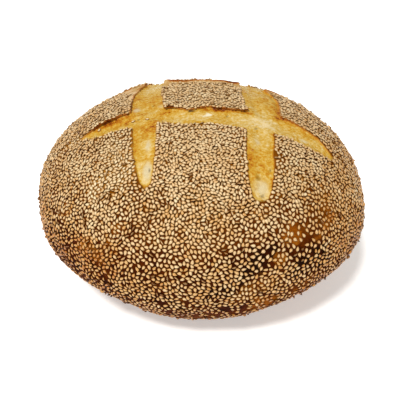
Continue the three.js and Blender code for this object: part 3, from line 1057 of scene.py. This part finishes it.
sesame = {
    "random": 7,
    "length": 3.5,
    "width": 2.26,
    "thickness": 1.05,
    "sizeSpread": 0.08,
    "sizeLimits": (0.8, 1.2),
    "perArea": [  # height, seeds for each mm²
        (0, 0.012), (12, 0.036), (28, 0.074), (45, 0.105), (70, 0.146), (98, 0.172), (112, 0.194),
        (124, 0.222),
    ],
    "perAreaWaves": (9, 0.05),  # size and share of the unevenness of the sowing
    "underside": (2.0, 0.06),  # up to this height the crust has this share of them
    "glowThins": 0.5,  # how many fewer on golden and on burnt patches
    "burntThins": 0.42,
    "fromEdge": 0.8,  # how far their middles keep from the edge of a cut
    "fromEdgeWaves": (2.6, 0.4),
    "ontoEars": 0.9,  # and how much nearer they come on an edge that curled
    "bareFrom": 0.45,  # where a bare patch is stronger than this there are none
    "rounds": 16,  # of pushing them apart
    "neighbours": 8,  # that push on each
    "spacing": (1.42, 1.06),  # in the first round and the last, of the distance at which they touch
    "push": 0.3,
    "longestPush": 0.7,
    "align": 0.02,  # how much they turn the way their neighbours lie, within this reach
    "alignReach": 3.4,
    "onEdge": 0.09,  # share of the seeds that stand on edge
    "onEdgeTurn": (50, 88),  # degrees
    "tiltSpread": 0.13,  # how unevenly they lie
    "tiltAlong": 0.7,  # share of the tilt that they have along their length
    "sunk": [(0, 0.2), (104, 0.2), (120, 0.46)],  # height, share of the thickness that is in the crust
    "middle": 0.42,  # height of a seed's middle over its underside, of its thickness
    "stacking": 0.55,  # how much a seed that overlaps others lies higher, for the overlap
    "stackedMost": 0.75,
    "clearance": 0.1,  # between the lowest seeds and the table
    "tone": [(0, 0.86), (20, 0.64), (40, 0.45), (75, 0.33), (100, 0.3), (124, 0.21)],  # height, how dark: toasting, and low on the loaf partly painted shade
    "toneSpread": [(0, 0.1), (100, 0.085), (120, 0.07)],
    "tonePlaces": [  # by how much more, and in which region
        (0.26, [(0, -20, -85), (2, 88, 55)]),  # low on the left flank
        (0.12, [(0, 20, 85), (2, 88, 55)]),  # low on the right flank
        (0.1, [(0, 35, 85), (2, 108, 80)]),  # and higher on it
    ],
    "toneMarks": {"burnt": -0.1, "glow": 0.1},
    "toneWaves": (13, 0.1),  # size and height of the slow changes of tone
    "dustPale": 0.16,  # how much paler they are where it is dusty, and how much deeper in the crust
    "dustSunk": 0.3,
    "kinds": {"pale": 0.3, "golden": 0.44, "toasted": 0.58, "brown": 9.0},  # up to which tone
    # the loose ones on the floors of the cuts: x, y and heading
    "loose": [(-44.6, -15.2, 20), (-35, -16.2, 160), (-68.9, -14, 60), (14, 57, 75), (-33, 72, 15)],
    "looseSize": 0.94,
    "looseTone": 0.12,
    "looseHeight": 0.38,  # of their middles over the floor, of the thickness
}


def scatterOnCrust(random):
    # first places for the seeds, by the area of the crust that takes them
    low, high = cuts["back"]["nearBareBand"]
    toasted = (skinPoints[:, 1] > low) & (skinPoints[:, 1] < high)
    toasted &= skinField["distance"] < cuts["back"]["nearBare"]
    size, waves = sesame["fromEdgeWaves"]
    border = sesame["fromEdge"] + waves * cloud(skinPoints, size, pattern["border"])
    border -= sesame["ontoEars"] * skinField["curl"]
    seeded = onCrust(skinPoints, "bare") < sesame["bareFrom"]
    held = (skinField["distance"] > border) & seeded & ~toasted
    quads = skinQuads[held[skinQuads].all(1)]
    a, b, c, d = (skinPoints[quads[:, k]] for k in range(4))
    area = np.linalg.norm(np.cross(c - a, d - b), axis=-1) / 2
    middle = (a + b + c + d) / 4
    perArea = np.interp(middle[:, 2], *zip(*sesame["perArea"]))
    underHeight, underShare = sesame["underside"]
    perArea *= np.where(middle[:, 2] < underHeight, underShare, 1)
    thinned = sesame["glowThins"] * onCrust(middle, "glow")
    perArea *= 1 - thinned - sesame["burntThins"] * onCrust(middle, "burnt")
    size, waves = sesame["perAreaWaves"]
    perArea *= 1 + waves * cloud(middle, size, pattern["sown"])
    wanted = area * np.clip(perArea, 0, None)
    count = int(wanted.sum())
    picked = random.choice(len(quads), count, p=wanted / wanted.sum())
    u, v = random.random((2, count, 1))
    places = mix(mix(a[picked], b[picked], u), mix(d[picked], c[picked], u), v)
    return quads, places


nearlyAlike = 0.999  # these two keep the formula for touching ellipses from dividing by zero
leastRoom = 0.1


def contactDistance(way, first, second):
    # how far apart two flat seeds touch, along a direction and for the ways that they point
    stretch = (sesame["length"] / sesame["width"]) ** 2
    shape = (stretch - 1) / (stretch + 1)
    firstWay, secondWay = (way * first).sum(-1), (way * second).sum(-1)
    both = np.clip((first * second).sum(-1), -nearlyAlike, nearlyAlike)
    inner = (firstWay + secondWay) ** 2 / (1 + shape * both)
    inner = inner + (firstWay - secondWay) ** 2 / (1 - shape * both)
    return sesame["width"] / np.sqrt(np.maximum(1 - shape / 2 * inner, leastRoom))


def settleSeeds(random):
    quads, places = scatterOnCrust(random)
    crust = BVHTree.FromPolygons(skinPoints.tolist(), quads.tolist())
    a, b, c, d = (skinPoints[quads[:, k]] for k in range(4))
    faceNormal = unit(np.cross(c - a, d - b))
    normal = np.zeros_like(places)
    ways = random.normal(size=places.shape)
    for turnNumber in range(sesame["rounds"]):
        for k, place in enumerate(places.tolist()):
            found, _, face, _ = crust.find_nearest(place)
            places[k] = found
            normal[k] = faceNormal[face]
        ways = unit(ways - (ways * normal).sum(-1, keepdims=True) * normal)
        tree = KDTree(len(places))
        for k, place in enumerate(places.tolist()):
            tree.insert(place, k)
        tree.balance()
        around = [tree.find_n(place, sesame["neighbours"] + 1) for place in places.tolist()]
        near = np.array([[hit[1] for hit in hits] for hits in around])[:, 1:]
        offset = places[:, None] - places[near]
        gap = np.maximum(np.linalg.norm(offset, axis=-1), tiny)
        way = offset / gap[..., None]
        touch = contactDistance(way, ways[:, None], ways[near])
        if turnNumber == sesame["rounds"] - 1:
            return places, normal, ways, near, np.maximum(touch - gap, 0)
        spacing = mix(*sesame["spacing"], turnNumber / (sesame["rounds"] - 2))
        overlap = np.maximum(touch * spacing - gap, 0)
        push = (way * overlap[..., None]).sum(1) * sesame["push"]
        length = np.maximum(np.linalg.norm(push, axis=-1, keepdims=True), tiny)
        places = places + push * np.minimum(1, sesame["longestPush"] / length)
        alike = (ways[:, None] * ways[near]).sum(-1, keepdims=True)
        nearness = np.exp(-((gap[..., None] / sesame["alignReach"]) ** 2))
        ways = ways + sesame["align"] * (alike * ways[near] * nearness).sum(1)


seedForm = {  # of a seed that is one unit long, wide and thick
    "corners": 10,  # points round it
    "pointed": 0.75,  # how pointed its thin end is
    "rimHeight": -0.05,
    "shoulder": 0.62,  # size, shift and height of the ring inside the rim
    "shoulderShift": -0.03,
    "shoulderHeight": 0.36,
    "crownShift": -0.06,
    "crownHeight": 0.5,
    "undersideHeight": -0.42,
    "shoulderRim": 0.45,  # how much of the rim's colour the shoulder and the underside have
    "undersideRim": 0.8,
    "cell": (0.9, 0.86),  # share of its place on the map that it fills
}


def seedShape():
    # one seed: a flat drop shape that is rounder on top
    count = seedForm["corners"]
    angle = np.arange(count) * 2 * math.pi / count
    across = np.sin(angle) * np.sin(angle / 2) ** seedForm["pointed"]
    outline = np.stack([np.cos(angle) / 2, across / np.ptp(across)], -1)
    shoulder = outline * seedForm["shoulder"] + (seedForm["shoulderShift"], 0)
    crown = [[seedForm["crownShift"], 0]]
    flat = np.concatenate([outline, shoulder, crown, crown])
    rings = [np.full(count, seedForm["rimHeight"]), np.full(count, seedForm["shoulderHeight"])]
    height = np.concatenate([*rings, [seedForm["crownHeight"]], [seedForm["undersideHeight"]]])
    points = np.concatenate([flat, height[:, None]], -1)
    k, after = np.arange(count), (np.arange(count) + 1) % count
    band = np.stack([k, after, after + count, k + count], -1)
    top = np.stack([k + count, after + count, np.full(count, 2 * count)], -1)
    bottom = np.stack([after, k, np.full(count, 2 * count + 1)], -1)
    onCrownAndUnderside = [0.0, seedForm["undersideRim"]]
    rim = np.concatenate([np.ones(count), np.full(count, seedForm["shoulderRim"]), onCrownAndUnderside])
    return points, band, top, bottom, rim


def mapSeeds(count, shape, upperFaces, underFaces):
    # a small cell for each seed, with its top on the left and its underside on the right
    cells = math.ceil(math.sqrt(count / 2))
    column, row = np.arange(count) % cells, np.arange(count) // cells
    onTop = np.concatenate([np.ones(len(upperFaces), bool), np.zeros(len(underFaces), bool)])
    flat = shape[np.concatenate([upperFaces, underFaces])][:, [1, 0]] * seedForm["cell"]
    flat = flat + np.where(onTop, 0.5, 1.5)[:, None] * (1, 0) + (0, 0.5)
    flat = flat * (0.5, 1)
    return ((flat[None] + np.stack([column, row], -1)[:, None]) / (cells, 2 * cells)).reshape(-1, 2)


def makeSeeds(name, places, normal, ways, sizes, tones):
    shape, band, top, bottom, rim = seedShape()
    sideways = np.cross(normal, ways)
    body = shape[None] * sizes[:, None]
    along, across, up = (body[..., k:k + 1] for k in range(3))
    points = places[:, None] + along * ways[:, None] + across * sideways[:, None] + up * normal[:, None]
    count, each = len(places), len(shape)
    upperFaces, underFaces = np.concatenate([band.ravel(), top.ravel()]), bottom.ravel()
    single = np.concatenate([upperFaces, underFaces])
    corners = (np.arange(count)[:, None] * each + single[None]).ravel()
    faceSizes = np.tile(np.repeat([4, 3, 3], [len(band), len(top), len(bottom)]), count)
    made = makeObject(name, points.reshape(-1, 3) - formMiddle, corners, faceSizes, sesameFinish())
    paintPoints(made, "tone", np.repeat(tones, each))
    # where the painted rim shade falls: 1 at the outline, less on the shoulder and the underside, none on the
    # crown
    paintPoints(made, "rim", np.tile(rim, count))
    layMap(made, mapSeeds(count, shape, upperFaces, underFaces))
    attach(made, "root")
    return made


hull = {
    "tones": [
        (0.0, tint(231, 210, 167)), (0.25, tint(220, 187, 138)), (0.5, tint(207, 156, 90)),
        (0.7, tint(192, 124, 52)), (0.88, tint(150, 82, 24)), (1.0, tint(96, 50, 12)),
    ],
    # a golden edge, partly toasting and partly painted shade down the seeds' sides, and a dark painted
    # contact shadow line round each outline
    "rim": tint(192, 140, 52),
    "rimShadowLine": tint(92, 45, 0),
    "rimToastAndShadeShare": 0.8,
    "rimShadowShare": 0.5,  # and how much more on a toasted seed
    "rimShadowToasted": 1.2,
    "grain": 0.45,
    "grainTone": 0.16,
    "grainDepth": 0.04,
    "roughness": 0.28,
    "grainRoughness": 0.12,
    "gloss": 0.4,
}


def sesameFinish():
    if "sesame_hull" in bpy.data.materials:
        return bpy.data.materials["sesame_hull"]
    finish = Finish("sesame_hull")
    tone, rim, grain = finish.painted("tone"), finish.painted("rim"), finish.noise(hull["grain"], 2)
    tone = tone + (grain - 0.5) * hull["grainTone"]
    colour = finish.ramp(tone, hull["tones"])
    # painted shade: golden down the sides, then a dark painted contact shadow at the outline, stronger on
    # darker seeds
    colour = finish.blend(colour, hull["rim"], rim * rim * hull["rimToastAndShadeShare"])
    line = rim * rim * rim * (tone * hull["rimShadowToasted"] + hull["rimShadowShare"])
    colour = finish.blend(colour, hull["rimShadowLine"], line)
    finish.surface(finish.shader({
        "Base Color": colour, "Roughness": hull["roughness"] + grain * hull["grainRoughness"],
        "Specular IOR Level": hull["gloss"], "Normal": finish.bump(grain, hull["grainDepth"]),
    }))
    return finish.material


def seedTonesAndShade(random, places, dusty):
    # how dark each seed is, 0 pale to 1 dark: its toasting, and low on the loaf partly painted shade
    spread = np.interp(places[:, 2], *zip(*sesame["toneSpread"]))
    tones = np.interp(places[:, 2], *zip(*sesame["tone"])) + random.normal(size=len(places)) * spread
    tones += sum(much * region(places, limits) for much, limits in sesame["tonePlaces"])
    tones -= sesame["dustPale"] * dusty
    tones += sum(much * onCrust(places, kind) for kind, much in sesame["toneMarks"].items())
    size, waves = sesame["toneWaves"]
    return np.clip(tones + waves * cloud(places, size, pattern["tone"]), 0, 1)


def sowSeeds():
    random = np.random.default_rng(sesame["random"])
    places, normal, ways, near, overlap = settleSeeds(random)
    count = len(places)
    sideways = np.cross(normal, ways)
    lean = random.normal(size=(2, count, 1)) * sesame["tiltSpread"]
    up = unit(normal + lean[0] * ways * sesame["tiltAlong"] + lean[1] * sideways)
    onEdge = random.random(count) < sesame["onEdge"]
    rolled = np.radians(random.uniform(*sesame["onEdgeTurn"], count))
    rolled = rolled * np.where(random.random(count) < 0.5, 1, -1)
    rolled = np.where(onEdge, rolled, 0)[:, None]
    sizes = np.array([sesame["length"], sesame["width"], sesame["thickness"]])
    sizes = sizes * np.clip(1 + random.normal(size=(count, 3)) * sesame["sizeSpread"], *sesame["sizeLimits"])
    above = random.random(count)
    stacked = (overlap * (above[:, None] > above[near])).sum(1) * sesame["stacking"]
    dusty = onCrust(places, "dusty")
    sunk = np.interp(places[:, 2], *zip(*sesame["sunk"])) + sesame["dustSunk"] * dusty
    lift = sizes[:, 2] * (sesame["middle"] - sunk) + np.minimum(stacked, sesame["stackedMost"])
    lift += np.abs(np.sin(rolled[:, 0])) * sesame["middle"]
    places = places + normal * lift[:, None]
    up = unit(up * np.cos(rolled) + np.cross(ways, up) * np.sin(rolled))
    ways = unit(ways - (ways * up).sum(-1, keepdims=True) * up)
    tones = seedTonesAndShade(random, places, dusty)
    tall = np.abs(ways[:, 2]) * sizes[:, 0] + np.abs(np.cross(up, ways)[:, 2]) * sizes[:, 1] + sizes[:, 2]
    clear = places[:, 2] - tall / 2 > sesame["clearance"]
    places, up, ways, sizes, tones = (part[clear] for part in (places, up, ways, sizes, tones))
    print("seeds:", len(places))
    lowest = -1.0
    for kind, highest in sesame["kinds"].items():
        held = (tones > lowest) & (tones <= highest)
        lowest = highest
        makeSeeds("seeds_" + kind, places[held], up[held], ways[held], sizes[held], tones[held])
        print("  ", kind, int(held.sum()), "seeds,", int(held.sum()) * 4 * seedForm["corners"], "triangles")


def dropLooseSeeds():
    # the few that fell on the floors of the cuts
    floors = BVHTree.FromPolygons(skinPoints.tolist(), skinQuads.tolist())
    places, normal, ways = [], [], []
    for x, y, heading in sesame["loose"]:
        place, up, _, _ = floors.ray_cast((x, y, 2 * domeTop), (0, 0, -1))
        place, up = np.array(place), np.array(up)
        way = np.array([math.cos(math.radians(heading)), math.sin(math.radians(heading)), 0])
        places.append(place + up * sesame["thickness"] * sesame["looseHeight"])
        normal.append(up)
        ways.append(unit(way - way.dot(up) * up))
    size = np.array([sesame["length"], sesame["width"], sesame["thickness"]]) * sesame["looseSize"]
    sizes, tones = np.tile(size, (len(places), 1)), np.full(len(places), sesame["looseTone"])
    makeSeeds("seeds_loose", np.array(places), np.array(normal), np.array(ways), sizes, tones)


sowSeeds()
dropLooseSeeds()

studio = {
    "elevation": 33.0,
    "distance": 450.0,
    "aimHeight": 52.0,
    "lens": 52.44,
    "roll": -1.0,
    "shiftX": 0.0015,
    "shiftY": -0.0305,
    "keyFrom": (-0.3, -0.48, 1.05),
    "keyAngle": 13.0,
    "keyStrength": 3.12,
    "surround": 0.34,
    "floorColour": tint(244, 243, 240),
    "floorGlow": 0.48,  # a light table, so that the loaf's shadow stays faint
    "floorHalf": 4000.0,
}


def placeCamera():
    tilt, roll = math.radians(studio["elevation"]), math.radians(studio["roll"])
    back = np.array([0, -math.cos(tilt), math.sin(tilt)])
    right = np.array([1.0, 0, 0])
    up = np.array([0, math.sin(tilt), math.cos(tilt)])
    rolledRight = right * math.cos(roll) + up * math.sin(roll)
    rolledUp = up * math.cos(roll) - right * math.sin(roll)
    place = np.array([0, 0, studio["aimHeight"]]) + back * studio["distance"] - formMiddle
    camera = bpy.data.objects.new("camera", bpy.data.cameras.new("camera"))
    camera.data.lens = studio["lens"]
    camera.data.shift_x = studio["shiftX"]
    camera.data.shift_y = studio["shiftY"]
    camera.data.clip_start = 0.01
    turned = Matrix((rolledRight, rolledUp, back)).transposed().to_4x4()
    camera.matrix_world = Matrix.Translation(Vector(place * mm)) @ turned
    bpy.context.collection.objects.link(camera)
    bpy.context.scene.camera = camera


def makeLight():
    world = bpy.data.worlds.new("studio")
    world.use_nodes = True
    surround = world.node_tree.nodes["Background"]
    surround.inputs["Color"].default_value = (1, 1, 1, 1)
    surround.inputs["Strength"].default_value = studio["surround"]
    bpy.context.scene.world = world
    key = bpy.data.objects.new("key", bpy.data.lights.new("key", "SUN"))
    key.data.energy = studio["keyStrength"]
    key.data.angle = math.radians(studio["keyAngle"])
    key.rotation_euler = Vector(studio["keyFrom"]).to_track_quat("Z", "Y").to_euler()
    bpy.context.collection.objects.link(key)
    bpy.context.scene.view_settings.view_transform = "Standard"


def makeFloor():
    finish = Finish("studio_floor")
    finish.surface(finish.shader({
        "Base Color": studio["floorColour"], "Roughness": 0.9,
        "Emission Color": studio["floorColour"], "Emission Strength": studio["floorGlow"],
    }))
    half = studio["floorHalf"]
    points = [(-half, -half, 0), (half, -half, 0), (half, half, 0), (-half, half, 0)]
    makeObject("studio_floor", points, [0, 1, 2, 3], [4], finish.material)


placeCamera()
makeLight()
makeFloor()
